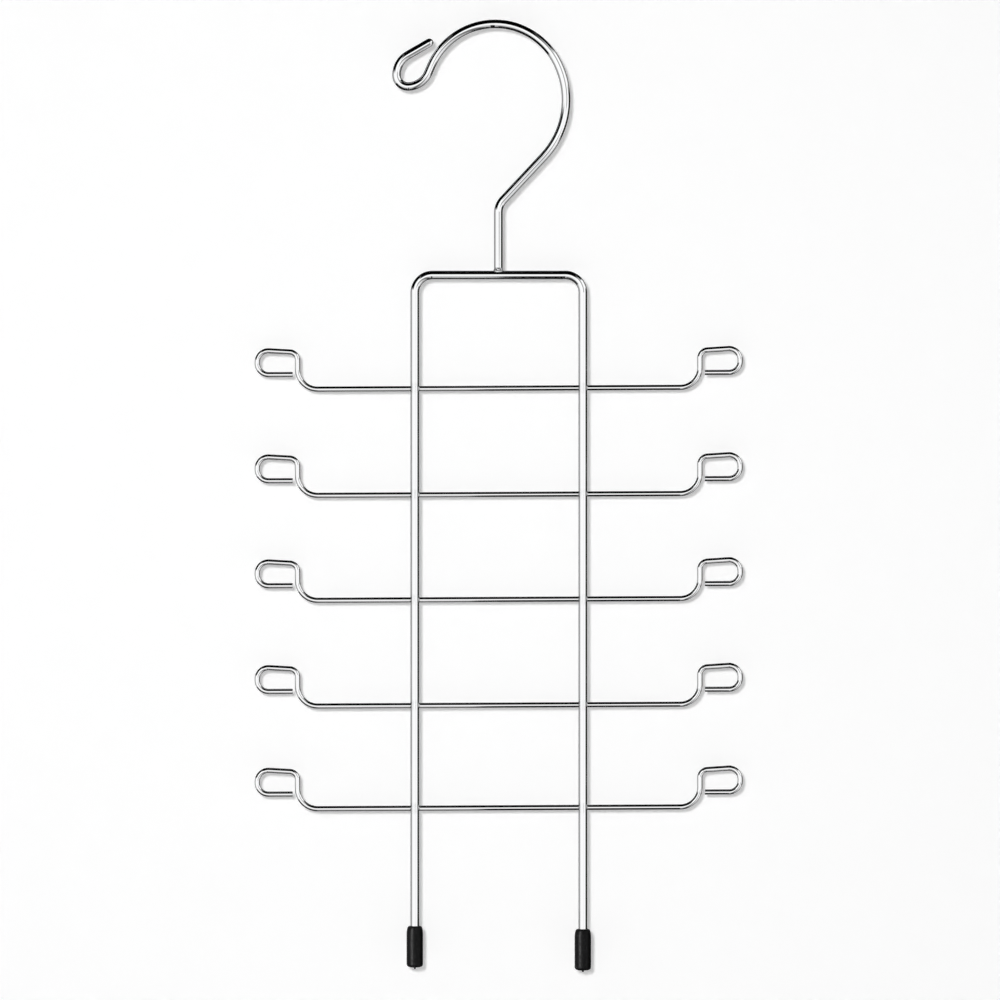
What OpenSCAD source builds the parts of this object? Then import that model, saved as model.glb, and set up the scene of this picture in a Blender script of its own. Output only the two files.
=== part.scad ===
// Five-rail scarf hanger of plated wire.
// The wires lie in upright planes, seen from the front (-Y side) with +X to the right and +Z up.
// The origin is the seat: the inside of the hook's crown, where the hanger rests on its rod.

/* [Wire] */
// Diameter of the wire of the hook and the frame
frame_wire_d = 3.75; // [3:0.05:4.5]
// Diameter of the wire of the rails
rail_wire_d = 2.3; // [1.8:0.05:2.8]
// How deep a rail is pressed into the leg behind which it is welded
weld_set_down = 0.3; // [0.2:0.05:0.4]

// Shortest straight that the bending tool leaves between two bends
tool_gap = 0.4; // [0.3:0.1:1]

/* [Hook] */
// Straight shank above the top bar
shank_length = 25; // [15:0.1:40]
// Radius of the bend from the shank into the neck, on the wire's centre line
neck_bend_r = 7.6; // [6:0.1:12]
// How far the neck leans away from the shank
neck_angle = 43; // [35:0.5:50]
// Straight length of the neck
neck_length = 25.5; // [18:0.1:34]
// Radius of the lower part of the bow
lower_bow_r = 35.5; // [32:0.1:40]
// Turn of the lower part of the bow
lower_bow_angle = 68.5; // [60:0.5:76]
// Radius of the upper part of the bow, which hangs on the rod
upper_bow_r = 29.7; // [26:0.1:34]
// Turn of the upper part of the bow
upper_bow_angle = 131.5; // [122:0.5:140]
// How far the shank stands from the middle of the top bar
shank_offset = -0.2; // [-4:0.1:4]

/* [Eyelet at the hook's tip] */
// Straight between the bow and the eyelet
eyelet_lead = 3.1; // [1:0.1:6]
// Radius where the wire turns into the eyelet and where it leaves it
eyelet_flank_r = 9.6; // [8:0.1:12]
// Turn of the flank next to the bow
eyelet_inner_angle = 60; // [54:0.5:66]
// Radius of the eyelet's round end
eyelet_nose_r = 4.9; // [4.2:0.1:6]
// Turn of the eyelet's round end
eyelet_nose_angle = 99.5; // [92:0.5:106]
// Turn of the flank next to the tip
eyelet_outer_angle = 57.5; // [52:0.5:62]
// Straight length that ends in the domed tip
tip_length = 10.6; // [6:0.1:11]

/* [Frame] */
// Distance between the centre lines of the two legs
leg_spacing = 71.9; // [50:0.1:110]
// Radius of the frame's two corners, on the wire's centre line
corner_r = 7.5; // [5:0.1:12]
// Height from the left leg's cut end to the centre line of the top bar
leg_length = 294.2; // [270:0.1:400]
// How much longer the right leg is cut
right_leg_extra = 1.3; // [0:0.1:3]

/* [Rails] */
// Centre line of the top bar to the centre line of the first rail
first_rail_drop = 48.4; // [40:0.1:60]
// Distance from one rail to the next
rail_pitch = 45; // [38:0.1:50]
// Rise of each rail towards the right, as it is welded
rail_slope = 0.28; // [0:0.01:0.6]
// Distance between the two risers of a rail, centre to centre
riser_spacing = 172.4; // [140:0.2:240]
// Radius of the bend from the rail up into the riser
riser_bend_r = 8.5; // [6:0.1:10]
// Straight length of the riser
riser_length = 4; // [3:0.1:8]

/* [End loops] */
// Radius of the bend from the riser into the top run
shoulder_bend_r = 3.5; // [3:0.1:4.5]
// Slope of the top run, which rises outwards
top_run_slope = 3.5; // [0:0.1:5]
// Straight length of the top run
top_run_length = 8.9; // [6:0.1:14]
// Radius of the two bends that make the outer end
nose_bend_r = 4.8; // [4.2:0.1:5.2]
// Straight length between those two bends
nose_flat = 0.6; // [0.3:0.1:1.5]
// Gap between the cut tail and the riser
tail_gap = 0.9; // [0.5:0.1:2]

/* [End caps] */
// Outer diameter of a cap
cap_d = 7.1; // [6.4:0.1:9]
// Length of a cap without its nib
cap_length = 17.6; // [12:0.1:26]
// Thickness of the cap below the leg's cut end
cap_floor = 2; // [1.6:0.1:3]
// Radial play between the leg and the cap's bore
cap_play = 0.02; // [0.01:0.01:0.05]
// Rounding of the cap's closed end
cap_round = 1.4; // [0.6:0.1:1.5]
// Length of the shoulder that narrows towards the mouth
shoulder_length = 3.6; // [1:0.1:6]
// How much the shoulder narrows on each side
shoulder_inset = 0.9; // [0.2:0.1:1]
// Diameter of the moulding nib in the middle of the closed end
nib_d = 0.9; // [0.6:0.1:1.6]
// Height of that nib below the closed end
nib_height = 0.9; // [0.5:0.1:1.5]

/* [Welds] */
// Radius of the squeezed metal round a rail's weld
rail_weld_r = 2.15; // [1.95:0.05:2.4]
// Thickness of that metal, across the two wires
rail_weld_thickness = 1.3; // [1:0.05:1.6]
// How far the hook's weld flares out past the shank
hook_weld_flare = 0.5; // [0.3:0.05:0.8]
// Height of the hook's weld above the top bar
hook_weld_height = 1.3; // [1:0.1:2.5]
// How deep the shank's end is fused into the top bar
hook_weld_sink = 0.4; // [0.3:0.05:0.5]
// Thickness at which the flare of the hook's weld runs out on the shank
weld_edge = 0.1; // [0.05:0.05:0.2]

/* [Hidden] */

chrome = "gainsboro";
weld_grey = "silver";
vinyl_black = "dimgray";
$fn = 64;

frame_wire_r = frame_wire_d / 2;
rail_wire_r = rail_wire_d / 2;
left = -1;
right = 1;
up = 90;
// Angle between two points of the cap's shoulder
shoulder_step = 15;
// How much a bend swells the wire's radius, and how far the straights run into the bend
bend_swell = 0.01;
bend_lap = 0.1;

// Off-pitch height of each rail on the hanger as it was welded
rail_drift = [0, -0.5, -0.5, -0.8, 0.2];

// A wire is bent from a list of steps: straight lengths and bends, which turn anticlockwise when
// the angle is positive. A pose is [x, z, heading]; a heading of 0 runs to the right.
function straight(length) = [length, 0];
function bend(radius, angle) = [radius, angle];
function is_bend(step) = step[1] != 0;
function side(angle) = angle > 0 ? 1 : -1;

function after_straight(pose, length) =
    [pose[0] + length * cos(pose[2]), pose[1] + length * sin(pose[2]), pose[2]];
function after_bend(pose, radius, angle) =
    let (turned = pose[2] + angle, reach = radius * side(angle))
    [pose[0] + reach * (sin(turned) - sin(pose[2])),
     pose[1] - reach * (cos(turned) - cos(pose[2])), turned];
function after(pose, step) =
    is_bend(step) ? after_bend(pose, step[0], step[1]) : after_straight(pose, step[0]);
function poses(start, steps) =
    [for (i = 0, pose = start; i <= len(steps);
          pose = i < len(steps) ? after(pose, steps[i]) : pose, i = i + 1) pose];
function last(list) = list[len(list) - 1];

// The hook, from the shank's end, which is fused into the top bar, to the domed tip
hook_steps = [
    straight(hook_weld_sink + shank_length),
    bend(neck_bend_r, -neck_angle),
    straight(neck_length),
    bend(lower_bow_r, lower_bow_angle),
    straight(tool_gap),
    bend(upper_bow_r, upper_bow_angle),
    straight(eyelet_lead),
    bend(eyelet_flank_r, -eyelet_inner_angle),
    straight(tool_gap),
    bend(eyelet_nose_r, -eyelet_nose_angle),
    straight(tool_gap),
    bend(eyelet_flank_r, -eyelet_outer_angle),
    straight(tip_length)
];
// The upper bow is the sixth step, and its centre lies to the left of its start
bow_start = poses([0, -hook_weld_sink, up], hook_steps)[5];
bow_centre = [bow_start[0] - upper_bow_r * sin(bow_start[2]),
              bow_start[1] + upper_bow_r * cos(bow_start[2])];
seat_height = bow_centre[1] + upper_bow_r - frame_wire_r;

shank_x = -bow_centre[0];
foot_z = -seat_height;
frame_x = shank_x - shank_offset;
bar_z = foot_z - frame_wire_r;

// Half a rail, from its middle to the right
half_rail = riser_spacing / 2 - riser_bend_r;
loop_turn = 180 + top_run_slope;
loop_steps = [
    straight(half_rail),
    bend(riser_bend_r, up),
    straight(riser_length),
    bend(shoulder_bend_r, top_run_slope - up),
    straight(top_run_length),
    bend(nose_bend_r, -loop_turn / 2),
    straight(nose_flat),
    bend(nose_bend_r, -loop_turn / 2)
];
tail_start = last(poses([0, 0, 0], loop_steps));
tail_length = tail_start[0] - riser_spacing / 2 - rail_wire_r - tail_gap;
rail_steps = concat(loop_steps, [straight(tail_length)]);
corner_x = leg_spacing / 2 - corner_r;
rail_y = frame_wire_r + rail_wire_r - weld_set_down;

function rail_z(n) = bar_z - first_rail_drop - (n - 1) * rail_pitch + rail_drift[n - 1];
function leg_x(which) = frame_x + which * leg_spacing / 2;
function leg_end_z(which) = bar_z - leg_length - (which == right ? right_leg_extra : 0);
function crossing_z(n, which) = rail_z(n) + which * leg_spacing / 2 * tan(rail_slope);

// Moves to the far end of a step, where the wire again runs along the local +Z
module past(step) {
    if (is_bend(step)) {
        centre_x = -side(step[1]) * step[0];
        translate([centre_x, 0, 0]) rotate([0, -step[1], 0]) translate([-centre_x, 0, 0]) children();
    } else {
        translate([0, 0, step[0]]) children();
    }
}

// A bend swells the wire by a hair, and the straights beside it run a little way into it
module bent_piece(wire_r, step) {
    turn = side(step[1]);
    translate([-turn * step[0], 0, 0]) rotate([90, 0, turn > 0 ? 0 : 180])
        rotate_extrude(angle = abs(step[1])) translate([step[0], 0]) circle(wire_r + bend_swell);
}

module straight_piece(wire_r, step, lap_before, lap_after)
    translate([0, 0, -lap_before]) cylinder(h = lap_before + step[0] + lap_after, r = wire_r);

// Bends and straights take turns along a wire; the children stand on its far end
module bent_wire(wire_r, steps, i = 0) {
    more = i + 1 < len(steps);
    if (is_bend(steps[i])) bent_piece(wire_r, steps[i]);
    else straight_piece(wire_r, steps[i], i > 0 ? bend_lap : 0, more ? bend_lap : 0);
    past(steps[i]) {
        if (more) bent_wire(wire_r, steps, i + 1) children();
        else children();
    }
}

module dome(r)
    rotate_extrude() intersection() {
        circle(r);
        square(r);
    }

module top_bar_rod()
    translate([frame_x, 0, bar_z]) rotate([0, up, 0])
        cylinder(h = 2 * corner_x, r = frame_wire_r, center = true);

module leg_rod(which)
    translate([leg_x(which), 0, leg_end_z(which)]) cylinder(h = leg_length, r = frame_wire_r);

module shank_rod()
    translate([shank_x, 0, foot_z - hook_weld_sink]) cylinder(h = shank_length, r = frame_wire_r);

module at_rail(n)
    translate([frame_x, rail_y, rail_z(n)]) rotate([0, -rail_slope, 0]) children();

// The straight of a rail that passes behind both legs
module rail_rod(n)
    at_rail(n) rotate([0, up, 0]) cylinder(h = 2 * half_rail, r = rail_wire_r, center = true);

// Both halves of a piece that is bent alike to the left and to the right
module both_ways() for (flip = [0, 1]) mirror([flip, 0, 0]) rotate([0, up, 0]) children();

module hook_wire()
    translate([shank_x, 0, foot_z - hook_weld_sink])
        bent_wire(frame_wire_r, hook_steps) dome(frame_wire_r);

module hook()
    color(chrome) difference() {
        hook_wire();
        top_bar_rod();
    }

module half_frame(which)
    mirror([which == left ? 1 : 0, 0, 0]) rotate([0, up, 0])
        bent_wire(frame_wire_r, [straight(corner_x), bend(corner_r, -up),
                                 straight(bar_z - corner_r - leg_end_z(which))]);

module frame()
    color(chrome) translate([frame_x, 0, bar_z]) {
        half_frame(left);
        half_frame(right);
    }

module rail(n)
    color(chrome) difference() {
        at_rail(n) both_ways() bent_wire(rail_wire_r, rail_steps);
        leg_rod(left);
        leg_rod(right);
    }

// The squeezed metal is a pellet with a full-round rim, cut by both wires
module rail_weld(n, which) {
    half = rail_weld_thickness / 2;
    contact_y = frame_wire_r - weld_set_down / 2;
    color(weld_grey) difference() {
        translate([leg_x(which), contact_y, crossing_z(n, which)]) rotate([90, 0, 0])
            rotate_extrude() {
                translate([0, -half]) square([rail_weld_r - half, rail_weld_thickness]);
                intersection() {
                    translate([rail_weld_r - half, 0]) circle(half);
                    translate([rail_weld_r - half, -half]) square([half, rail_weld_thickness]);
                }
            }
        leg_rod(which);
        rail_rod(n);
    }
}

// The hook's weld is a collar on the top bar, hollowed to a flare that runs out on the shank
module hook_weld() {
    collar_r = frame_wire_r + hook_weld_flare;
    flare_r = hook_weld_height;
    weld_top = hook_weld_sink + hook_weld_height;
    color(weld_grey) difference() {
        translate([shank_x, 0, foot_z - hook_weld_sink]) rotate_extrude() difference() {
            square([collar_r, weld_top]);
            translate([frame_wire_r + weld_edge + flare_r, weld_top]) circle(flare_r);
        }
        top_bar_rod();
        shank_rod();
    }
}

// Outline of the cap's shoulder, a quarter of an ellipse between the side and the mouth
function shoulder_outline(cap_r) =
    [for (t = [0:shoulder_step:90])
        [cap_r - shoulder_inset * (1 - cos(t)), cap_length - shoulder_length * (1 - sin(t))]];

module cap_body(cap_r)
    rotate_extrude() {
        translate([cap_r - cap_round, cap_round]) circle(cap_round);
        square([cap_r - cap_round, cap_length]);
        polygon(concat([[0, cap_length], [0, cap_round], [cap_r, cap_round]], shoulder_outline(cap_r)));
    }

module end_cap(which)
    color(vinyl_black) translate([leg_x(which), 0, leg_end_z(which) - cap_floor]) {
        difference() {
            cap_body(cap_d / 2);
            translate([0, 0, cap_floor]) cylinder(h = cap_length, r = frame_wire_r + cap_play);
        }
        translate([0, 0, nib_d / 2 - nib_height]) {
            cylinder(h = nib_height, d = nib_d);
            rotate([180, 0, 0]) dome(nib_d / 2);
        }
    }

hook();
frame();
rail(1);  // rail_1
rail(2);  // rail_2
rail(3);  // rail_3
rail(4);  // rail_4
rail(5);  // rail_5
end_cap(left);  // left_end_cap
end_cap(right);  // right_end_cap
hook_weld();
rail_weld(1, left);  // rail_1_left_weld
rail_weld(1, right);  // rail_1_right_weld
rail_weld(2, left);  // rail_2_left_weld
rail_weld(2, right);  // rail_2_right_weld
rail_weld(3, left);  // rail_3_left_weld
rail_weld(3, right);  // rail_3_right_weld
rail_weld(4, left);  // rail_4_left_weld
rail_weld(4, right);  // rail_4_right_weld
rail_weld(5, left);  // rail_5_left_weld
rail_weld(5, right);  // rail_5_right_weld
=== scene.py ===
"""Dresses the scarf hanger: bright plated wires, weld flash and vinyl end caps, in a small white studio."""

from __future__ import annotations

import logging
import math
from dataclasses import dataclass, field
from enum import Enum
from typing import Any, Callable, Sequence, Union

import bpy
import numpy as np
from bpy.types import Material, Node, NodeSocket, NodeTree, Object
from mathutils import Matrix, Vector


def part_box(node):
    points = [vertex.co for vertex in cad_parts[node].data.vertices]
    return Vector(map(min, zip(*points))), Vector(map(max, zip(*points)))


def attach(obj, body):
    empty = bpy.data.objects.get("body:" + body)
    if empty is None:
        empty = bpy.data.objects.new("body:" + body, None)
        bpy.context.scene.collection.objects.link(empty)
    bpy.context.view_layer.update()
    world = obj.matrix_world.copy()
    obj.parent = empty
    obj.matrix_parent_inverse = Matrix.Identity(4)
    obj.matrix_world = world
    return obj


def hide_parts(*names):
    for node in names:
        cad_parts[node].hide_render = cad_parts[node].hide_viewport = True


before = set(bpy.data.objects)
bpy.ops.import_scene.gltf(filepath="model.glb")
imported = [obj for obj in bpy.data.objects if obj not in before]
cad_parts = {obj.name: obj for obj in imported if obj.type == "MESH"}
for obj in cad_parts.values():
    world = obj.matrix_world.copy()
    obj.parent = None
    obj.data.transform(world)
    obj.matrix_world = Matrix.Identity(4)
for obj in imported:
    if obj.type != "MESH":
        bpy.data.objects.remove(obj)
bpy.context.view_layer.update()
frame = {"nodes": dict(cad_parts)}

LOG = logging.getLogger("scarf_hanger")
BODY = "root"
MM = 0.001
RIGHT_ANGLE = 90.0
WIRE_COORD = "wire_coord"
MERGE_DISTANCE = 0.002 * MM
PER_MM = 1 / MM
SMOOTH_ANGLE = math.radians(38)
Pair = tuple[float, float]
Triple = tuple[float, float, float]


class Slot(Enum):
    """The names of the record's material slots, which this script does not use."""

    HOOK = "hook_chrome"
    FRAME = "frame_chrome"
    RAIL = "rail_chrome"
    WELD = "weld_metal"
    VINYL = "black_vinyl"


class End(Enum):
    """How a wire's far end is finished."""

    DOMED = "domed"
    SHEARED = "sheared"
    PLAIN = "plain"


class Side(Enum):
    """The two sides of the frame, as seen from the front."""

    LEFT = "left"
    RIGHT = "right"


# Shader nodes


class Signal:
    """One shader socket that takes part in Python arithmetic, where each operation adds a Math node."""

    def __init__(self, desk: ShaderDesk, socket: NodeSocket) -> None:
        """Wraps an output socket, with the desk that adds nodes to its tree."""
        self.desk = desk
        self.socket = socket

    def _with(self, operation: str, *operands: Number) -> Signal:
        """Adds one Math node and gives its result."""
        node = self.desk.node("ShaderNodeMath", {"operation": operation}, dict(enumerate(operands)))
        return Signal(self.desk, node.outputs[0])

    def __add__(self, other: Number) -> Signal:
        """Adds another value."""
        return self._with("ADD", self, other)

    def __sub__(self, other: Number) -> Signal:
        """Takes another value away."""
        return self._with("SUBTRACT", self, other)

    def __rsub__(self, other: Number) -> Signal:
        """Takes this away from another value."""
        return self._with("SUBTRACT", other, self)

    def __mul__(self, other: Number) -> Signal:
        """Multiplies by another value."""
        return self._with("MULTIPLY", self, other)

    def __truediv__(self, other: Number) -> Signal:
        """Divides by another value."""
        return self._with("DIVIDE", self, other)

    def __abs__(self) -> Signal:
        """Drops the sign."""
        return self._with("ABSOLUTE", self)

    def larger(self, other: Number) -> Signal:
        """Keeps the larger of this and another value."""
        return self._with("MAXIMUM", self, other)

    def root(self) -> Signal:
        """Takes the square root."""
        return self._with("SQRT", self)

    __radd__ = __add__
    __rmul__ = __mul__


Number = Union[Signal, float, int]


class ShaderDesk:
    """Adds nodes to one material's or world's tree."""

    def __init__(self, tree: NodeTree) -> None:
        """Clears a tree and takes it over."""
        self.tree = tree
        tree.nodes.clear()

    def node(self, kind: str, settings: dict[str, Any], inputs: dict[Any, Any]) -> Node:
        """Adds one node: first its settings are made, then its sockets are set or linked.

        Args:
            kind: the node's type.
            settings: attributes to set.
            inputs: values or signals, by socket name or number.

        Returns:
            The new node.
        """
        node = self.tree.nodes.new(kind)
        for name, value in settings.items():
            setattr(node, name, value)
        for key, value in inputs.items():
            if isinstance(value, Signal):
                self.tree.links.new(value.socket, node.inputs[key])
            else:
                node.inputs[key].default_value = value
        return node

    def signal(self, kind: str, settings: dict[str, Any], inputs: dict[Any, Any], output: Any = 0) -> Signal:
        """Adds a node and gives one of its outputs, by name or number."""
        return Signal(self, self.node(kind, settings, inputs).outputs[output])

    def parts(self, vector: Signal) -> tuple[Signal, ...]:
        """Splits a vector into its X, Y and Z."""
        node = self.node("ShaderNodeSeparateXYZ", {}, {0: vector})
        return tuple(Signal(self, output) for output in node.outputs)

    def millimetres(self) -> tuple[Signal, ...]:
        """Gives the object's own X, Y and Z in millimetres."""
        places = self.signal("ShaderNodeTexCoord", {}, {}, "Object")
        return tuple(part * PER_MM for part in self.parts(places))

    def join(self, x: Number, y: Number, z: Number) -> Signal:
        """Makes a vector of three values."""
        return self.signal("ShaderNodeCombineXYZ", {}, {0: x, 1: y, 2: z})

    def noise(self, vector: Signal, scale: float, detail: float) -> Signal:
        """Adds fractal noise round 0.5, by its features per unit and its number of finer layers."""
        inputs = {"Vector": vector, "Scale": scale, "Detail": detail}
        return self.signal("ShaderNodeTexNoise", {}, inputs, "Fac")

    def smooth_step(self, value: Number, low: Number, high: Number) -> Signal:
        """Rises from 0 at low to 1 at high, softly at both ends."""
        inputs = {"Value": value, "From Min": low, "From Max": high}
        return self.signal("ShaderNodeMapRange", {"interpolation_type": "SMOOTHSTEP"}, inputs)

    def blend(self, share: Number, first: Any, second: Any) -> Signal:
        """Mixes two colours, by the share of the second."""
        node = self.node("ShaderNodeMix", {"data_type": "RGBA"}, {0: share, 6: first, 7: second})
        return Signal(self, node.outputs[2])

    def bump(self, height: Signal, distance: float) -> Signal:
        """Turns a height into a normal, where a height of 1 stands for the distance."""
        inputs = {"Strength": 1.0, "Distance": distance, "Height": height}
        return self.signal("ShaderNodeBump", {}, inputs, "Normal")

    def surface(self, inputs: dict[str, Any]) -> None:
        """Ends a material in a Principled shader."""
        shader = self.signal("ShaderNodeBsdfPrincipled", {}, inputs)
        self.node("ShaderNodeOutputMaterial", {}, {"Surface": shader})


def new_material(name: str) -> tuple[Material, ShaderDesk]:
    """Makes a material with an empty tree.

    Args:
        name: its name.

    Returns:
        The material and the desk for its tree.
    """
    made = bpy.data.materials.new(name)
    made.use_nodes = True
    return made, ShaderDesk(made.node_tree)


# Finishes

Colour = tuple[float, float, float, float]


def grey(level: float) -> Colour:
    """Gives an opaque grey of one linear level."""
    return (level, level, level, 1.0)


@dataclass(frozen=True)
class ChromeFinish:
    """Bright chrome over drawn steel wire: lines along the wire, faint waves, dull spots at welds, and a
    dark edge tint that paints a dark rim at its outline.
    """

    name: str
    colour: Colour = (0.93, 0.934, 0.94, 1.0)
    dull_colour: Colour = (0.80, 0.80, 0.81, 1.0)
    # Painted shade: this dark edge tint darkens the mirror image towards each wire's outline, for a dark rim
    # line.
    painted_dark_rim_tint: Colour = (0.2, 0.2, 0.2, 1.0)
    roughness: float = 0.022
    streak_roughness: float = 0.02
    weld_roughness: float = 0.14
    streaks_per_mm: float = 1.6
    streak_stretch: float = 0.035
    streak_height: float = 0.03
    waves_per_mm: float = 0.045
    wave_height: float = 0.012
    wave_stretch: float = 0.5
    shift_by_height: float = 1.7
    wave_shift: float = 40.0
    spot_scale: float = 2.2
    spot_edges: Pair = (0.35, 0.65)
    dull_share: float = 0.6
    weld_places: tuple[float, ...] = ()
    weld_axis: int = 0
    weld_core: float = 1.28 * MM
    weld_reach: float = 3.2 * MM

    def material(self) -> Material:
        """Makes the material.

        Returns:
            A material whose lines follow the wire's own coordinates.
        """
        made, desk = new_material(self.name)
        unrolled = desk.signal("ShaderNodeAttribute", {"attribute_name": WIRE_COORD}, {}, "Vector")
        along, across, depth = desk.parts(unrolled)
        place = desk.parts(desk.signal("ShaderNodeTexCoord", {}, {}, "Object"))
        shift = place[2] * self.shift_by_height
        drawn = desk.join(along * (self.streak_stretch / MM), across * PER_MM, depth * PER_MM + shift)
        streaks = desk.noise(drawn, self.streaks_per_mm, 3.0)
        stretch = self.wave_stretch / MM
        swell = desk.join(along * PER_MM, across * stretch, depth * stretch + shift * self.wave_shift)
        waves = desk.noise(swell, self.waves_per_mm, 1.0)
        spots = desk.noise(drawn, self.streaks_per_mm * self.spot_scale, 4.0)
        heat = place[self.weld_axis] * 0.0
        for where in self.weld_places:
            away = abs(place[self.weld_axis] - where)
            heat = heat.larger(1.0 - desk.smooth_step(away, self.weld_core, self.weld_reach))
        dulled = heat * desk.smooth_step(spots, *self.spot_edges)
        desk.surface({
            "Base Color": desk.blend(dulled * self.dull_share, self.colour, self.dull_colour),
            "Metallic": 1.0,
            "Roughness": self.roughness + streaks * self.streak_roughness + dulled * self.weld_roughness,
            # painted dark rim: the dark edge tint
            "Specular Tint": self.painted_dark_rim_tint,
            "Normal": desk.bump(streaks * self.streak_height + waves, self.wave_height * MM),
        })
        return made


@dataclass(frozen=True)
class WeldFinish:
    """Plated weld flash: the same chrome, lumpy and a little duller, with rougher pit spots darkened by
    painted shade, and a painted dark rim.
    """

    name: str = "weld_flash"
    colour: Colour = (0.84, 0.845, 0.85, 1.0)
    # Painted shade: the dark colour of the pit spots, which the bump does not hollow out.
    painted_pit_shade_colour: Colour = (0.30, 0.30, 0.31, 1.0)
    # Painted shade: this dark edge tint darkens the flash's mirror image towards its outline, for a dark
    # rim.
    painted_dark_rim_tint: Colour = (0.25, 0.25, 0.25, 1.0)
    roughness: float = 0.07
    lumps_per_mm: float = 1.6
    lump_height: float = 0.16
    lump_roughness: float = 0.12
    pit_and_shade_scale: float = 2.0
    pit_and_shade_edges: Pair = (0.62, 0.72)
    pit_roughness: float = 0.3

    def material(self) -> Material:
        """Makes the material.

        Returns:
            A material on object coordinates.
        """
        made, desk = new_material(self.name)
        spot = desk.join(*desk.millimetres())
        lumps = desk.noise(spot, self.lumps_per_mm, 3.0)
        # rougher pit spots, which also carry painted shade in their colour
        rough_pits_and_shade = desk.smooth_step(desk.noise(spot, self.lumps_per_mm * self.pit_and_shade_scale, 2.0), *self.pit_and_shade_edges)
        desk.surface({
            # painted shade: the pit spots darkened
            "Base Color": desk.blend(rough_pits_and_shade, self.colour, self.painted_pit_shade_colour),
            "Metallic": 1.0,
            "Roughness": self.roughness + lumps * self.lump_roughness + rough_pits_and_shade * self.pit_roughness,
            # painted dark rim: the dark edge tint
            "Specular Tint": self.painted_dark_rim_tint,
            "Normal": desk.bump(lumps, self.lump_height * MM),
        })
        return made


@dataclass(frozen=True)
class VinylFinish:
    """Satin black vinyl with a fine grain, paler where it is rubbed, and faint streaks down its sides."""

    name: str = "satin_vinyl"
    colour: Colour = (0.0035, 0.0035, 0.0037, 1.0)
    rubbed_colour: Colour = (0.010, 0.010, 0.0105, 1.0)
    specular: float = 0.09
    refraction: float = 1.5
    roughness: float = 0.28
    grains_per_mm: float = 9.0
    grain_height: float = 0.012
    swells_per_mm: float = 0.35
    swell_height: float = 0.06
    streaks_per_mm: float = 1.1
    streak_stretch: float = 0.08
    streak_roughness: float = 0.12
    scuffs_per_mm: float = 0.8
    scuff_edges: Pair = (0.50, 0.68)
    scuff_share: float = 0.6
    scuff_roughness: float = 0.2

    def material(self) -> Material:
        """Makes the material.

        Returns:
            A material on object coordinates.
        """
        made, desk = new_material(self.name)
        x, y, z = desk.millimetres()
        spot = desk.join(x, y, z)
        down = desk.join(x, y, z * self.streak_stretch)
        grain = desk.noise(spot, self.grains_per_mm, 3.0) * (self.grain_height * MM)
        swell = desk.noise(spot, self.swells_per_mm, 2.0) * (self.swell_height * MM)
        streaks = desk.noise(down, self.streaks_per_mm, 3.0)
        scuffs = desk.smooth_step(desk.noise(spot, self.scuffs_per_mm, 5.0), *self.scuff_edges)
        desk.surface({
            "Base Color": desk.blend(scuffs * self.scuff_share, self.colour, self.rubbed_colour),
            "Roughness": self.roughness + streaks * self.streak_roughness + scuffs * self.scuff_roughness,
            "IOR": self.refraction,
            "Specular IOR Level": self.specular,
            "Normal": desk.bump(grain + swell, 1.0),
        })
        return made


# Modelling


def mode(name: str) -> None:
    """Changes to object or edit mode."""
    bpy.ops.object.mode_set(mode=name)


def deselect_all() -> None:
    """Leaves edit mode and selects nothing."""
    if bpy.context.object and bpy.context.object.mode != "OBJECT":
        mode("OBJECT")
    bpy.ops.object.select_all(action="DESELECT")


def add_piece(operator: Callable[..., Any], **settings: Any) -> Object:
    """Adds an object with nothing else selected.

    Args:
        operator: the operator that adds it.
        settings: the operator's settings.

    Returns:
        The new object.
    """
    deselect_all()
    operator(**settings)
    return bpy.context.object


def extrude(shift: Vector) -> None:
    """Extrudes what is selected in edit mode."""
    bpy.ops.mesh.extrude_region_move(TRANSFORM_OT_translate={"value": shift})


def select_only(piece: Object) -> None:
    """Selects one object and makes it active.

    Args:
        piece: the object.
    """
    deselect_all()
    piece.select_set(True)
    bpy.context.view_layer.objects.active = piece


def settle(piece: Object) -> None:
    """Moves an object's place into its mesh, so that it sits at the origin."""
    select_only(piece)
    bpy.ops.object.transform_apply(location=True, rotation=True, scale=True)


def add_modifier(piece: Object, kind: str, settings: dict[str, Any]) -> None:
    """Adds one modifier and applies it.

    Args:
        piece: the object.
        kind: the modifier's type.
        settings: attributes to set on it.
    """
    select_only(piece)
    modifier = piece.modifiers.new(kind.title(), kind)
    for name, value in settings.items():
        setattr(modifier, name, value)
    bpy.ops.object.modifier_apply(modifier=modifier.name)


def pick(piece: Object, test: Callable[[Vector], bool]) -> None:
    """Selects the points of a mesh that pass a test and stays in edit mode.

    Args:
        piece: the object.
        test: tells from a point's place whether it is selected.
    """
    select_only(piece)
    mode("EDIT")
    bpy.ops.mesh.select_mode(type="VERT")
    bpy.ops.mesh.select_all(action="DESELECT")
    mode("OBJECT")
    for vertex in piece.data.vertices:
        vertex.select = test(vertex.co)
    mode("EDIT")


def close_up(piece: Object) -> None:
    """Merges doubles, fills open ends and turns the faces outwards.

    Args:
        piece: the object.
    """
    select_only(piece)
    mode("EDIT")
    bpy.ops.mesh.select_all(action="SELECT")
    bpy.ops.mesh.remove_doubles(threshold=MERGE_DISTANCE)
    bpy.ops.mesh.select_all(action="SELECT")
    bpy.ops.mesh.fill_holes(sides=0)
    bpy.ops.mesh.select_all(action="SELECT")
    bpy.ops.mesh.normals_make_consistent(inside=False)
    mode("OBJECT")
    bpy.ops.object.shade_smooth_by_angle(angle=SMOOTH_ANGLE)


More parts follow.
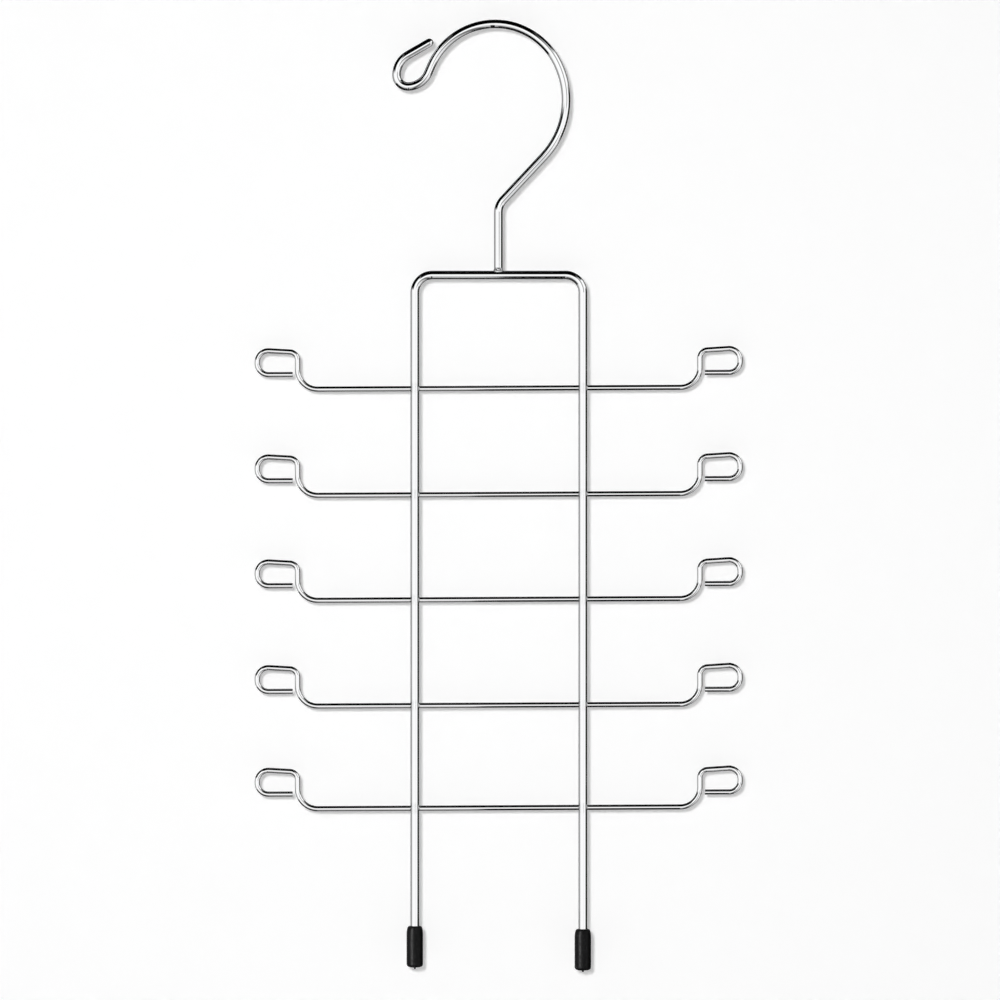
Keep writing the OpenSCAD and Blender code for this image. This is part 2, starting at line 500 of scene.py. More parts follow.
def open_ring(name: str, centre: Vector, radius: float, sides: int, turn: float = 0.0) -> Object:
    """Adds a circle and opens it for editing.

    Args:
        name: the piece's name.
        centre: the circle's centre.
        radius: its radius.
        sides: how many sides it has.
        turn: its rotation about Y, in radians.

    Returns:
        The piece, in edit mode with all of it selected.
    """
    shape = {"vertices": sides, "radius": radius, "fill_type": "NOTHING"}
    piece = add_piece(
        bpy.ops.mesh.primitive_circle_add, location=centre, rotation=(0.0, turn, 0.0), **shape
    )
    piece.name = name
    piece.data.name = name
    settle(piece)
    mode("EDIT")
    bpy.ops.mesh.select_mode(type="EDGE")
    bpy.ops.mesh.select_all(action="SELECT")
    return piece


def place_copy(piece: Object, name: str, offset: Vector) -> Object:
    """Copies a piece to another place, with its own mesh.

    Args:
        piece: the piece to copy.
        name: the copy's name.
        offset: how far the copy is moved.

    Returns:
        The copy, at the origin with its place in its mesh.
    """
    select_only(piece)
    bpy.ops.object.duplicate(linked=False)
    copy = bpy.context.object
    copy.name = name
    copy.data.name = name
    copy.location = offset
    settle(copy)
    return copy


def dress(piece: Object, material: Material, node: str) -> None:
    """Gives a piece its finish and puts it in the place of a CAD node.

    Args:
        piece: the finished mesh.
        material: its material.
        node: the node that it stands for.
    """
    piece.data.materials.clear()
    piece.data.materials.append(material)
    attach(piece, BODY)
    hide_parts(node)
    LOG.info("%s: %d faces, for %s", piece.name, len(piece.data.polygons), node)


@dataclass(frozen=True)
class Pose:
    """A point of a wire's centre line and its heading from the front: 0 to the right and 90 up."""

    point: Vector
    heading: float

    def forward(self) -> Vector:
        """Gives the wire's direction."""
        angle = math.radians(self.heading)
        return Vector((math.cos(angle), 0.0, math.sin(angle)))

    def leftward(self) -> Vector:
        """Gives the direction to the wire's left, in its plane."""
        ahead = self.forward()
        return Vector((-ahead.z, 0.0, ahead.x))


@dataclass(frozen=True)
class Straight:
    """A straight length of wire."""

    length: float


@dataclass(frozen=True)
class Bend:
    """A bend, which turns anticlockwise when its angle in degrees is positive."""

    radius: float
    angle: float


Step = Union[Straight, Bend]


class WireBender:
    """Draws one wire out of a circle: its end ring is extruded along straights and spun round bends."""

    degrees_per_ring = 4.0
    tuck = 0.15 * MM
    dome_rings = 7
    shear_chamfer = 0.10 * MM
    ahead_weight = 9.0

    def __init__(self, name: str, radius: float, start: Pose, sides: int) -> None:
        """Places the first ring and opens it for editing.

        Args:
            name: the wire's name.
            radius: the wire's radius.
            start: where it starts.
            sides: how many sides its ring has.
        """
        self.piece = open_ring(name, start.point, radius, sides, math.radians(RIGHT_ANGLE - start.heading))
        self.radius = radius
        self.pose = start
        self.rings: list[tuple[Pose, float]] = [(start, 0.0)]

    def _arrive(self, pose: Pose, length: float) -> None:
        """Notes a new ring, by its pose and its distance from the last one along the wire."""
        self.pose = pose
        self.rings.append((pose, self.rings[-1][1] + length))

    def _push(self, length: float) -> None:
        """Extrudes the end ring straight on."""
        extrude(self.pose.forward() * length)
        self._arrive(Pose(self.pose.point + self.pose.forward() * length, self.pose.heading), length)

    def _spin(self, radius: float, angle: float) -> None:
        """Spins the end ring round a bend.

        Args:
            radius: the bend's radius on the centre line.
            angle: its angle in degrees, anticlockwise when positive.
        """
        rings = max(2, math.ceil(abs(angle) / self.degrees_per_ring))
        side = math.copysign(1.0, angle)
        centre = self.pose.point + self.pose.leftward() * (side * radius)
        bpy.ops.mesh.spin(
            steps=rings, angle=math.radians(abs(angle)), center=centre, axis=(0.0, side, 0.0), dupli=False
        )
        first = self.pose.heading
        for ring in range(1, rings + 1):
            heading = first + angle * ring / rings
            outward = Pose(centre, heading).leftward() * (-side * radius)
            self._arrive(Pose(centre + outward, heading), math.radians(abs(angle)) * radius / rings)

    def follow(self, steps: Sequence[Step]) -> WireBender:
        """Bends the wire through its steps, with a ring close to each end of a straight to keep it flat.

        Args:
            steps: straights and bends, in order.

        Returns:
            This bender, for the next call.
        """
        for step in steps:
            if isinstance(step, Bend):
                self._spin(step.radius, step.angle)
            elif step.length < 4 * self.tuck:
                self._push(step.length)
            else:
                self._push(self.tuck)
                self._push(step.length - 2 * self.tuck)
                self._push(self.tuck)
        return self

    def taper(self, length: float, scale: float) -> None:
        """Extrudes the end ring straight on and resizes it.

        Args:
            length: how far.
            scale: its new size, as a share of the old one.
        """
        self._push(length)
        bpy.ops.transform.resize(value=(scale, scale, scale), center_override=self.pose.point)
        self.radius *= scale

    def finish(self, end: End) -> Object:
        """Ends the wire and closes its mesh.

        Args:
            end: how the far end is made.

        Returns:
            The finished wire.
        """
        if end is End.DOMED:
            radius = self.radius
            quarter = math.pi / 2 / self.dome_rings
            for ring in range(1, self.dome_rings):
                rise = math.sin(quarter * ring) - math.sin(quarter * (ring - 1))
                self.taper(radius * rise, math.cos(quarter * ring) / math.cos(quarter * (ring - 1)))
            self._push(radius * (1 - math.sin(quarter * (self.dome_rings - 1))))
            bpy.ops.mesh.merge(type="COLLAPSE")
        elif end is End.SHEARED:
            self.taper(self.shear_chamfer, 1 - self.shear_chamfer / self.radius)
        mode("OBJECT")
        self._unroll()
        close_up(self.piece)
        return self.piece

    def _unroll(self) -> None:
        """Stores each point's place on the wire as if it were still straight."""
        mesh = self.piece.data
        points = np.array([v.co for v in mesh.vertices], float)
        centres = np.array([pose.point for pose, _ in self.rings], float)
        lefts = np.array([pose.leftward() for pose, _ in self.rings], float)
        runs = np.array([run for _, run in self.rings], float)
        ahead = np.array([pose.forward() for pose, _ in self.rings], float)
        coords = np.zeros_like(points)
        for index, point in enumerate(points):
            apart = point - centres
            near = np.argmin((apart**2).sum(1) + self.ahead_weight * (apart * ahead).sum(1) ** 2)
            coords[index] = (runs[near], apart[near] @ lefts[near], apart[near][1])
        layer = mesh.attributes.new(WIRE_COORD, "FLOAT_VECTOR", "POINT")
        layer.data.foreach_set("vector", coords.astype(np.float32).ravel())


def versine(angle: float) -> float:
    """Gives 1 minus the cosine."""
    return 1 - math.cos(angle)


class CapLathe:
    """Draws a round piece out of a circle, whose ring is extruded along Z and resized from step to step."""

    def __init__(self, name: str, centre: Vector, radius: float, sides: int) -> None:
        """Places the first ring and opens it for editing."""
        self.piece = open_ring(name, centre, radius, sides)
        self.centre, self.radius = centre.copy(), radius

    def ring(self, radius: float, height: float) -> None:
        """Adds one ring.

        Args:
            radius: its radius.
            height: how far it is above the last one.
        """
        extrude(Vector((0.0, 0.0, height)))
        self.centre.z += height
        scale = radius / self.radius
        bpy.ops.transform.resize(value=(scale, scale, 1.0), center_override=self.centre)
        self.radius = radius

    def quarter(self, rings: int, across: float, up: float, level: bool, first: float = 0.0) -> None:
        """Adds the rings of a quarter round.

        Args:
            rings: how many.
            across: how much the radius grows over the whole quarter.
            up: how far the whole quarter rises.
            level: whether it starts level and ends upright, and not the other way round.
            first: the angle at which it starts, in radians.
        """
        radius_of, height_of = (math.sin, versine) if level else (versine, math.sin)
        start = self.radius - across * radius_of(first)
        passed = height_of(first)
        for step in range(1, rings + 1):
            angle = first + (math.pi / 2 - first) * step / rings
            self.ring(start + across * radius_of(angle), up * (height_of(angle) - passed))
            passed = height_of(angle)

    def finish(self) -> Object:
        """Closes the mesh.

        Returns:
            The finished piece.
        """
        mode("OBJECT")
        close_up(self.piece)
        return self.piece


# The hanger's sub-assemblies


@dataclass
class HookWire:
    """The hook: shank, neck, two-stage bow and eyelet, bent from one heavy wire."""

    wire_radius: float = 1.868 * MM
    sink: float = 0.4 * MM
    foot_taper: float = 1.6 * MM
    foot_scale: float = 0.28
    shank_length: float = 25.0 * MM
    shank_offset: float = -0.2 * MM
    neck: Bend = Bend(7.6 * MM, -43.0)
    neck_length: float = 25.5 * MM
    lower_bow: Bend = Bend(35.5 * MM, 68.5)
    upper_bow: Bend = Bend(29.7 * MM, 131.5)
    tool_gap: float = 0.4 * MM
    eyelet_lead: float = 3.1 * MM
    inner_flank: Bend = Bend(9.6 * MM, -60.0)
    eyelet_nose: Bend = Bend(4.9 * MM, -99.5)
    outer_flank: Bend = Bend(9.6 * MM, -57.5)
    tip_length: float = 10.6 * MM
    sides: int = 48
    finish: ChromeFinish = ChromeFinish("hook_plating")

    def steps(self) -> list[Step]:
        """Lists the hook's straights and bends from the foot to the tip."""
        gap = Straight(self.tool_gap)
        shank = Straight(self.sink + self.shank_length - self.foot_taper)
        bow = [self.lower_bow, gap, self.upper_bow]
        eyelet = [self.inner_flank, gap, self.eyelet_nose, gap, self.outer_flank]
        stem = [shank, self.neck, Straight(self.neck_length)]
        return [*stem, *bow, Straight(self.eyelet_lead), *eyelet, Straight(self.tip_length)]

    def build(self, foot: Vector) -> None:
        """Bends and dresses the hook.

        Args:
            foot: the middle of the shank's foot, on the top bar's upper side.
        """
        start = Pose(Vector((foot.x, foot.y, foot.z - self.sink)), RIGHT_ANGLE)
        wire = WireBender("hook_wire", self.wire_radius * self.foot_scale, start, self.sides)
        wire.taper(self.foot_taper, 1 / self.foot_scale)
        hook = wire.follow(self.steps()).finish(End.DOMED)
        dress(hook, self.finish.material(), "hook")


@dataclass
class FrameWire:
    """The frame: an upside-down U of heavy wire, whose right leg is cut a little longer."""

    wire_radius: float = 1.875 * MM
    corner_radius: float = 7.5 * MM
    sides: int = 48
    left_end: Vector = field(default_factory=Vector)
    right_end: Vector = field(default_factory=Vector)
    bar_z: float = 0.0

    def __post_init__(self) -> None:
        """Takes the legs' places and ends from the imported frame."""
        low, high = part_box("frame")
        left_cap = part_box("left_end_cap")
        right_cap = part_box("right_end_cap")
        self.bar_z = high.z - self.wire_radius
        self.right_end = Vector((high.x - self.wire_radius, 0.0, low.z))
        step_up = left_cap[0].z - right_cap[0].z
        self.left_end = Vector((low.x + self.wire_radius, 0.0, low.z + step_up))

    def middle_x(self) -> float:
        """Gives the middle of the top bar."""
        return (self.left_end.x + self.right_end.x) / 2

    def build(self, weld_heights: Sequence[float]) -> None:
        """Bends and dresses the frame.

        Args:
            weld_heights: the heights at which the rails are welded on.
        """
        corner = Bend(self.corner_radius, -RIGHT_ANGLE)
        top = self.bar_z - self.corner_radius
        steps = [
            Straight(top - self.left_end.z),
            corner,
            Straight(self.right_end.x - self.left_end.x - 2 * self.corner_radius),
            corner,
            Straight(top - self.right_end.z),
        ]
        start = Pose(self.left_end, RIGHT_ANGLE)
        wire = WireBender("frame_wire", self.wire_radius, start, self.sides).follow(steps).finish(End.PLAIN)
        finish = ChromeFinish("frame_plating", weld_places=tuple(weld_heights), weld_axis=2)
        dress(wire, finish.material(), "frame")


@dataclass
class RailWires:
    """The five rails: thin wires whose ends rise and curl outwards to a cut tail beside the riser."""

    frame: FrameWire
    count: int = 5
    wire_radius: float = 1.15 * MM
    first_drop: float = 48.4 * MM
    set_down: float = 0.3 * MM
    slope: float = 0.28
    riser_spacing: float = 172.4 * MM
    riser_bend: Bend = Bend(8.5 * MM, RIGHT_ANGLE)
    riser_length: float = 4.0 * MM
    shoulder_radius: float = 3.5 * MM
    top_run_slope: float = 3.5
    top_run_length: float = 8.9 * MM
    nose_radius: float = 4.8 * MM
    nose_flat: float = 0.6 * MM
    tail_gap: float = 0.9 * MM
    sides: int = 32

    def depth(self) -> float:
        """Gives the rails' distance behind the legs' centre plane."""
        return self.frame.wire_radius + self.wire_radius - self.set_down

    def height(self, number: int) -> float:
        """Gives the middle height of one rail, by its number from the top and its place in the frame."""
        first = self.frame.bar_z - self.first_drop
        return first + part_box(f"rail_{number}")[0].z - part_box("rail_1")[0].z

    def steps(self) -> list[Step]:
        """Lists half a rail's straights and bends, from its middle to the tail."""
        half_turn = (180.0 + self.top_run_slope) / 2
        shoulder = Bend(self.shoulder_radius, self.top_run_slope - RIGHT_ANGLE)
        nose = Bend(self.nose_radius, -half_turn)
        rise = math.radians(self.top_run_slope)
        heading = math.radians(self.top_run_slope - half_turn)
        reach = self.shoulder_radius * (1 - math.sin(rise)) + self.top_run_length * math.cos(rise)
        reach += self.nose_radius * (math.sin(rise) - math.sin(heading)) + self.nose_flat * math.cos(heading)
        reach -= -self.nose_radius * math.sin(heading)
        return [
            Straight(self.riser_spacing / 2 - self.riser_bend.radius),
            self.riser_bend,
            Straight(self.riser_length),
            shoulder,
            Straight(self.top_run_length),
            nose,
            Straight(self.nose_flat),
            nose,
            Straight(reach - self.wire_radius - self.tail_gap - WireBender.shear_chamfer),
        ]

    def build(self) -> None:
        """Bends the first rail, copies it to the others' places and dresses them."""
        wire = WireBender("rail_1_wire", self.wire_radius, Pose(Vector(), 0.0), self.sides)
        rail = wire.follow(self.steps()).finish(End.SHEARED)
        pick(rail, lambda point: abs(point.x) < MERGE_DISTANCE)
        bpy.ops.mesh.delete(type="ONLY_FACE")
        mode("OBJECT")
        add_modifier(rail, "MIRROR", {"use_axis": (True, False, False), "merge_threshold": MERGE_DISTANCE})
        rail.rotation_euler = (0.0, -math.radians(self.slope), 0.0)
        rail.location = (self.frame.middle_x(), self.depth(), self.height(1))
        settle(rail)
        close_up(rail)
        rails = [rail]
        for number in range(2, self.count + 1):
            drop = Vector((0.0, 0.0, self.height(number) - self.height(1)))
            rails.append(place_copy(rail, f"rail_{number}_wire", drop))
        legs = (self.frame.left_end.x, self.frame.right_end.x)
        material = ChromeFinish("rail_plating", weld_places=legs, weld_axis=0, waves_per_mm=0.06).material()
        for number, made in enumerate(rails, 1):
            dress(made, material, f"rail_{number}")


@dataclass
class WeldFlash:
    """The metal squeezed out where two wires are welded, blended into both."""

    frame: FrameWire
    rails: RailWires
    hook: HookWire
    inset: float = 0.03 * MM
    voxel: float = 0.11 * MM
    pellet_radius: float = 2.0 * MM
    pellet_thickness: float = 0.9 * MM
    collar_height: float = 1.1 * MM
    collar_grip: float = 1.5 * MM
    collar_scale: Triple = (1.16, 0.3, 1.0)
    root_scale: Triple = (1.05, 0.9, 1.0)
    stub: float = 5.2 * MM
    bar_stub: float = 1.4
    sides: int = 48
    foot_seed: int = 5
    unevenness: float = 0.05 * MM
    smoothing: int = 9
    finish: WeldFinish = WeldFinish()

    def _stub_of(self, centre: Vector, radius: float, turn: Triple, length: float) -> Object:
        """Adds a short length of wire, a hair thinner than the wire, by its middle, radius and rotation."""
        shape = {"vertices": self.sides, "radius": radius - self.inset, "depth": length}
        return add_piece(bpy.ops.mesh.primitive_cylinder_add, location=centre, rotation=turn, **shape)

    def _collar(self, foot: Vector) -> Object:
        """Adds the squeezed end of the shank: drawn out along the bar and drawn in across it.

        Args:
            foot: the middle of the shank's foot.

        Returns:
            The squeezed end.
        """
        top = foot + Vector((0.0, 0.0, self.collar_height))
        middle = top + Vector((0.0, 0.0, self.collar_grip / 2))
        collar = self._stub_of(middle, self.hook.wire_radius, (0.0, 0.0, 0.0), self.collar_grip)
        settle(collar)
        pick(collar, lambda point: point.z < middle.z)
        for drop, scale in ((self.collar_height, self.collar_scale), (self.hook.sink, self.root_scale)):
            extrude(Vector((0.0, 0.0, -drop)))
            bpy.ops.transform.resize(value=scale, center_override=foot)
        mode("OBJECT")
        return collar

    def _fuse(self, name: str, parts: Sequence[Object], seed: int, smoothing: int) -> Object:
        """Fuses parts to one lump and lets its inner corners fill.

        Args:
            name: the lump's name.
            parts: overlapping solids.
            seed: the seed of its unevenness.
            smoothing: how many times its corners are rounded.

        Returns:
            The lump.
        """
        deselect_all()
        for part in parts:
            part.select_set(True)
        bpy.context.view_layer.objects.active = parts[0]
        bpy.ops.object.join()
        lump = bpy.context.object
        lump.name = name
        lump.data.name = name
        settle(lump)
        add_modifier(lump, "REMESH", {"mode": "VOXEL", "voxel_size": self.voxel})
        select_only(lump)
        mode("EDIT")
        bpy.ops.mesh.select_all(action="SELECT")
        bpy.ops.transform.vertex_random(offset=self.unevenness, seed=seed)
        mode("OBJECT")
        add_modifier(lump, "SMOOTH", {"factor": 0.5, "iterations": smoothing})
        bpy.ops.object.shade_smooth_by_angle(angle=math.pi)
        return lump

    def _crossing(self, name: str, side: Side, number: int) -> Object:
        """Makes the weld of one rail and one leg.

        Args:
            name: the weld's name.
            side: which leg.
            number: which rail.

        Returns:
            The weld.
        """
        leg = self.frame.left_end if side is Side.LEFT else self.frame.right_end
        slope = math.radians(self.rails.slope)
        height = self.rails.height(number) + (leg.x - self.frame.middle_x()) * math.tan(slope)
        touch = self.frame.wire_radius - self.rails.set_down / 2
        upright = (0.0, 0.0, 0.0)
        lying = (0.0, math.pi / 2 - slope, 0.0)
        behind = Vector((leg.x, self.rails.depth(), height))
        size = Vector((self.pellet_radius, self.pellet_thickness, self.pellet_radius))
        ball = {"segments": 32, "ring_count": 16, "radius": 1.0, "location": Vector((leg.x, touch, height))}
        parts = [
            self._stub_of(Vector((leg.x, 0.0, height)), self.frame.wire_radius, upright, self.stub),
            self._stub_of(behind, self.rails.wire_radius, lying, self.stub),
            add_piece(bpy.ops.mesh.primitive_uv_sphere_add, scale=size, **ball),
        ]
        return self._fuse(name, parts, 10 * number + len(side.value), self.smoothing)

    def _foot(self, foot: Vector) -> Object:
        """Makes the weld of the hook's foot on the top bar.

        Args:
            foot: the middle of the shank's foot.

        Returns:
            The weld.
        """
        bar = Vector((foot.x, foot.y, self.frame.bar_z))
        lying = (0.0, math.pi / 2, 0.0)
        stub = self._stub_of(bar, self.frame.wire_radius, lying, self.bar_stub * self.stub)
        return self._fuse("hook_weld_flash", [stub, self._collar(foot)], self.foot_seed, self.smoothing // 2)

    def build(self, foot: Vector) -> None:
        """Makes and dresses the eleven welds.

        Args:
            foot: the middle of the hook's foot.
        """
        material = self.finish.material()
        dress(self._foot(foot), material, "hook_weld")
        for number in range(1, self.rails.count + 1):
            for side in Side:
                node = f"rail_{number}_{side.value}_weld"
                dress(self._crossing(f"{node}_flash", side, number), material, node)


@dataclass
class EndCaps:
    """The two vinyl caps: round closed ends with a moulding nib, and a shoulder drawn in to the mouth."""

    frame: FrameWire
    radius: float = 3.549 * MM
    length: float = 17.6 * MM
    floor: float = 2.0 * MM
    end_rounding: float = 1.4 * MM
    shoulder_length: float = 3.6 * MM
    shoulder_inset: float = 0.9 * MM
    lip: float = 0.15 * MM
    bore_radius: float = 1.885 * MM
    bore_depth: float = 2.5 * MM
    nib_radius: float = 0.45 * MM
    nib_height: float = 0.9 * MM
    nib_foot: float = 0.25 * MM
    nib_tip_angle: float = 0.08
    sides: int = 64
    finish: VinylFinish = VinylFinish()

    def _turned(self) -> Object:
        """Turns the left cap from the nib's tip up to the mouth and into its bore."""
        leg = self.frame.left_end
        bottom = leg.z - self.floor
        first = self.nib_tip_angle
        tip = Vector((leg.x, leg.y, bottom - self.nib_height + self.nib_radius * versine(first)))
        lathe = CapLathe("left_cap", tip, self.nib_radius * math.sin(first), self.sides)
        lathe.quarter(6, self.nib_radius, self.nib_radius, True, first)
        lathe.ring(self.nib_radius, self.nib_height - self.nib_radius - self.nib_foot)
        lathe.quarter(4, self.nib_foot, self.nib_foot, False)
        inner = self.radius - self.end_rounding
        lathe.ring((inner + self.nib_radius) / 2, 0.0)
        lathe.ring(inner, 0.0)
        lathe.quarter(10, self.end_rounding, self.end_rounding, True)
        lathe.ring(self.radius, self.length - self.end_rounding - self.shoulder_length)
        lathe.quarter(12, -self.shoulder_inset, self.shoulder_length - self.lip, False)
        lathe.quarter(4, -self.lip, self.lip, False)
        lathe.ring(self.bore_radius + self.lip, 0.0)
        lathe.quarter(4, -self.lip, -self.lip, True)
        lathe.ring(self.bore_radius, -self.bore_depth)
        return lathe.finish()

    def build(self) -> list[Object]:
        """Makes the left cap, copies it to the right leg and dresses both.

        Returns:
            The two caps.
        """
        left = self._turned()
        right = place_copy(left, "right_cap", self.frame.right_end - self.frame.left_end)
        material = self.finish.material()
        dress(left, material, "left_end_cap")
        dress(right, material, "right_end_cap")
        return [left, right]


# The studio


@dataclass(frozen=True)
class Flag:
    """A dark or grey card in the studio, as the round wires mirror it.

    Its bearing round the view axis is 0 to the right and 90 up. Near and far are the shares of a wire's
    radius between which its mirror image lies, on the side that faces the card.
    """

    bearing: float
    half_width: float
    near: float
    far: float
    level: float
    softness: float = 4.0


@dataclass
class Studio:
    """A white wall behind the hanger, a pale floor, a small key lamp, and cards that the plating mirrors."""

    view_centre: Vector = field(default_factory=lambda: Vector((2.17 * MM, 0.0, -201.91 * MM)))
    view_width: float = 0.428
    view_distance: float = 2.0
    wall_gap: float = 15.5 * MM
    wall_half: float = 3.0
    floor_z: float = -0.56
    cove_radius: float = 0.05
    cove_rings: int = 12
    lamp_lean: Pair = (-0.0885, 0.093)
    lamp_distance: float = 2.0
    lamp_size: float = 0.156
    lamp_share: float = 0.50
    cap_lamp_way: Triple = (-0.66, -0.75, 0.0)
    cap_lamp_distance: float = 1.2
    cap_lamp_power: float = 33.0
    cap_lamp_size: Pair = (0.4, 1.4)
    ambient: float = 0.165
    wall_glow: float = 0.266
    backdrop_colour: float = 0.9
    sky_level: float = 0.97
    front_level: float = 1.035
    edge_blur: float = 0.035
    floor_start: float = 0.15
    floor_shade: float = 0.55
    line_left: Pair = (0.08, 0.13)
    line_right: Pair = (0.25, 0.31)
    line_faint: float = 0.07
    line_strength: float = 0.63
    line_gap_z: float = -0.0235
    line_gap_edges: Pair = (0.068, 0.078)
    overhead: Flag = Flag(92.0, 36.0, 0.11, 0.91, 0.0, 6.0)
    upper_right: Flag = Flag(50.0, 9.0, 0.46, 0.95, 0.0)
    upper_left: Flag = Flag(146.0, 21.0, 0.33, 0.90, 0.0, 5.0)
    left: Flag = Flag(188.0, 24.0, 0.61, 0.95, 0.36, 5.0)
    lower_left: Flag = Flag(-121.0, 28.0, 0.50, 0.95, 0.0, 2.0)
    below: Flag = Flag(-90.9, 3.0, 0.66, 0.95, 0.0, 0.7)
    below_right: Flag = Flag(-88.03, 2.0, 0.33, 0.95, 0.0, 0.05)
    lower_right: Flag = Flag(-77.0, 8.0, 0.61, 0.95, 0.0, 3.0)
    right: Flag = Flag(-5.0, 18.0, 0.60, 0.95, 0.0)
    rim: Flag = Flag(-32.0, 82.0, 0.78, 0.95, 0.04)

    def flags(self) -> tuple[Flag, ...]:
        """Lists the cards, where a later one hides an earlier one."""
        above = (self.upper_right, self.upper_left, self.overhead)
        under = (self.lower_left, self.below, self.lower_right, self.below_right)
        return (self.rim, self.left, self.right, *under, *above)

    def build(self, capped: Sequence[Object]) -> None:
        """Sets up the camera, the wall and floor, the lamps, the world and the view.

        Args:
            capped: the vinyl caps, which have a lamp of their own.
        """
        self._camera()
        self._backdrop()
        self._key_lamp()
        self._cap_lamp(capped)
        self._world()
        bpy.context.scene.view_settings.view_transform = "Standard"
        LOG.info("studio: camera %.2f m away, %d cards", self.view_distance, len(self.flags()))

    def _camera(self) -> None:
        """Puts the camera straight in front, framed as the photograph."""
        place = self.view_centre - Vector((0.0, self.view_distance, 0.0))
        camera = add_piece(bpy.ops.object.camera_add, location=place, rotation=(math.pi / 2, 0.0, 0.0))
        camera.data.lens = camera.data.sensor_width * self.view_distance / self.view_width
        bpy.context.scene.camera = camera

    def _backdrop(self) -> None:
        """Makes the wall and floor as one sheet with a rounded corner, seen from its front side only."""
        upright = {"location": (0.0, self.wall_gap, 0.0), "rotation": (math.pi / 2, 0.0, 0.0)}
        sheet = add_piece(bpy.ops.mesh.primitive_plane_add, size=2 * self.wall_half, **upright)
        sheet.name = "wall_and_floor"
        settle(sheet)
        pick(sheet, lambda point: point.z < 0)
        top_of_cove = self.floor_z + self.cove_radius
        bpy.ops.transform.translate(value=(0.0, 0.0, top_of_cove + self.wall_half))
        pivot = (0.0, self.wall_gap - self.cove_radius, top_of_cove)
        across = (1.0, 0.0, 0.0)
        bpy.ops.mesh.spin(steps=self.cove_rings, angle=math.pi / 2, center=pivot, axis=across, dupli=False)
        extrude(Vector((0.0, -self.wall_half, 0.0)))
        mode("OBJECT")
        bpy.ops.object.shade_smooth()
        sheet.data.materials.append(self._paper())
        sheet.visible_glossy = False

    def _paper(self) -> Material:
        """Makes the backdrop's matt white with an even glow of its own, clear when seen from its back."""
        made, desk = new_material("backdrop_paper")
        matt = desk.signal("ShaderNodeBsdfDiffuse", {}, {"Color": grey(self.backdrop_colour)})
        path = desk.node("ShaderNodeLightPath", {}, {})
        direct, mirrored, through = (
            Signal(desk, path.outputs[name])
            for name in ("Is Camera Ray", "Is Glossy Ray", "Is Transmission Ray")
        )
        strength = (direct + mirrored + through) * self.wall_glow
        glow = desk.signal("ShaderNodeEmission", {}, {"Color": grey(1.0), "Strength": strength})
        white = desk.signal("ShaderNodeAddShader", {}, {0: matt, 1: glow})
        clear = desk.signal("ShaderNodeBsdfTransparent", {}, {})
        behind = desk.signal("ShaderNodeNewGeometry", {}, {}, "Backfacing")
        mixed = desk.signal("ShaderNodeMixShader", {}, {0: behind, 1: white, 2: clear})
        desk.node("ShaderNodeOutputMaterial", {}, {"Surface": mixed})
        return made

    @staticmethod
    def _area_lamp(name: str, place: Vector, aim: Vector, power: float) -> Object:
        """Hangs an area lamp.

        Args:
            name: its name.
            place: where it hangs.
            aim: the direction in which it shines.
            power: its power in watts.

        Returns:
            The lamp.
        """
        lamp = add_piece(bpy.ops.object.light_add, type="AREA", location=place)
        lamp.name = name
        lamp.rotation_euler = aim.to_track_quat("-Z", "Y").to_euler()
        lamp.data.energy = power
        return lamp

    def _key_lamp(self) -> None:
        """Hangs the small key lamp above and left of the camera, for the thin shadows on the wall."""
        lean_x, lean_z = self.lamp_lean
        direction = Vector((lean_x, -1.0, lean_z)).normalized()
        place = self.view_centre + direction * self.lamp_distance
        power = self.lamp_share * math.pi**2 * self.lamp_distance**2 / -direction.y
        lamp = self._area_lamp("key_lamp", place, -direction, power)
        lamp.data.shape = "DISK"
        lamp.data.size = self.lamp_size
        lamp.visible_glossy = False

    def _cap_lamp(self, capped: Sequence[Object]) -> None:
        """Hangs a tall lamp on the left that only the caps receive, for the sheen down their left side.

        Args:
            capped: the caps.
        """
        middle = (capped[0].bound_box[0][2] + capped[0].bound_box[6][2]) / 2
        direction = Vector(self.cap_lamp_way).normalized()
        place = Vector((0.0, 0.0, middle)) + direction * self.cap_lamp_distance
        lamp = self._area_lamp("cap_lamp", place, -direction, self.cap_lamp_power)
        lamp.data.shape = "RECTANGLE"
        lamp.data.size, lamp.data.size_y = self.cap_lamp_size
        receivers = bpy.data.collections.new("cap_lamp_receivers")
        for cap in capped:
            receivers.objects.link(cap)
        lamp.light_linking.receiver_collection = receivers

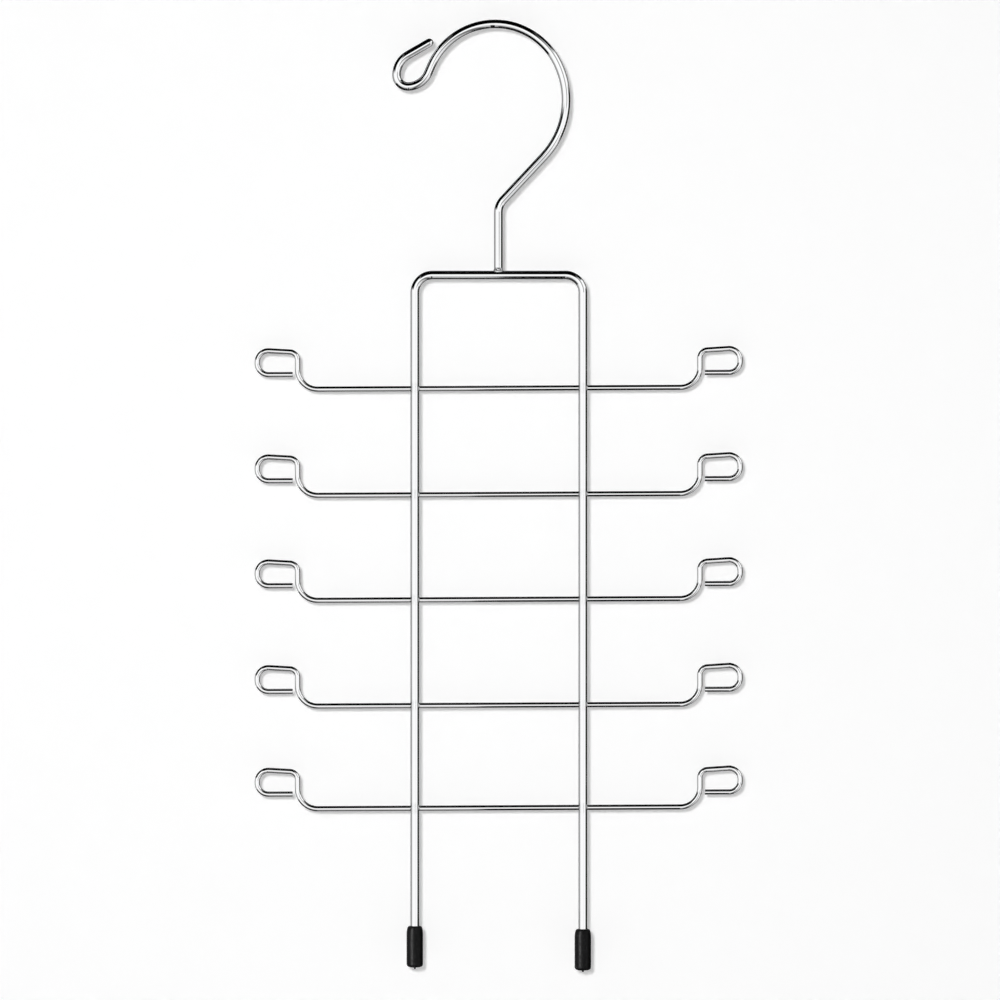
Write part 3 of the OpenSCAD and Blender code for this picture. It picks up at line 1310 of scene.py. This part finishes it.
    def _world(self) -> None:
        """Makes the world: pale to the camera, even for soft light, and the cards in reflections."""
        world = bpy.data.worlds.new("studio_air")
        bpy.context.scene.world = world
        world.use_nodes = True
        desk = ShaderDesk(world.node_tree)
        to_camera = desk.signal("ShaderNodeLightPath", {}, {}, "Is Camera Ray")
        in_gloss = desk.signal("ShaderNodeLightPath", {}, {}, "Is Glossy Ray")
        x, y, z = desk.parts(desk.signal("ShaderNodeTexCoord", {}, {}, "Generated"))
        aside = (x * x + z * z).root()
        share = ((1.0 + y) * 0.5).root()
        light = self._front(desk, z, share * x / aside)
        for flag in self.flags():
            turn = math.radians(flag.bearing)
            towards = (x * math.cos(turn) + z * math.sin(turn)) / aside
            outer = math.cos(math.radians(flag.half_width + flag.softness))
            inner = math.cos(math.radians(max(0.0, flag.half_width - flag.softness)))
            across = desk.smooth_step(towards, outer, inner)
            starts = desk.smooth_step(share, flag.near - self.edge_blur, flag.near + self.edge_blur)
            ends = desk.smooth_step(share, flag.far - self.edge_blur, flag.far + self.edge_blur)
            cover = across * starts * (1.0 - ends)
            light = light * (1.0 - cover) + cover * flag.level
        plain = self.ambient * (1.0 - to_camera) + to_camera * self.sky_level
        strength = plain * (1.0 - in_gloss) + light * in_gloss
        background = desk.signal("ShaderNodeBackground", {}, {"Color": grey(1.0), "Strength": strength})
        desk.node("ShaderNodeOutputWorld", {}, {"Surface": background})

    def _front(self, desk: ShaderDesk, z: Signal, right: Signal) -> Signal:
        """Lights the studio in front of the hanger: white, greyer to the floor, with one thin upright line.

        Args:
            desk: the world's desk.
            z: the direction's upward part.
            right: how far right of its axis a wire mirrors it, as a share of the radius.

        Returns:
            The brightness.
        """
        floor = desk.smooth_step(0.0 - z, self.floor_start, 1.0)
        line = desk.smooth_step(right, *self.line_left) * (1.0 - desk.smooth_step(right, *self.line_right))
        off_gap = desk.smooth_step(abs(z - self.line_gap_z), *self.line_gap_edges)
        seen = self.line_faint + off_gap * self.line_strength
        return self.front_level * (1.0 - floor * self.floor_shade) * (1.0 - line * seen)


def main() -> None:
    """Builds the hanger's pieces in order and reports each one."""
    logging.basicConfig(level=logging.INFO, format="%(name)s: %(message)s")
    wire = FrameWire()
    hook = HookWire()
    rails = RailWires(frame=wire)
    foot = Vector((wire.middle_x() + hook.shank_offset, 0.0, wire.bar_z + wire.wire_radius))
    hook.build(foot)
    wire.build([rails.height(number) for number in range(1, rails.count + 1)])
    rails.build()
    WeldFlash(frame=wire, rails=rails, hook=hook).build(foot)
    caps = EndCaps(frame=wire).build()
    Studio().build(caps)


if __name__ == "__main__":
    main()
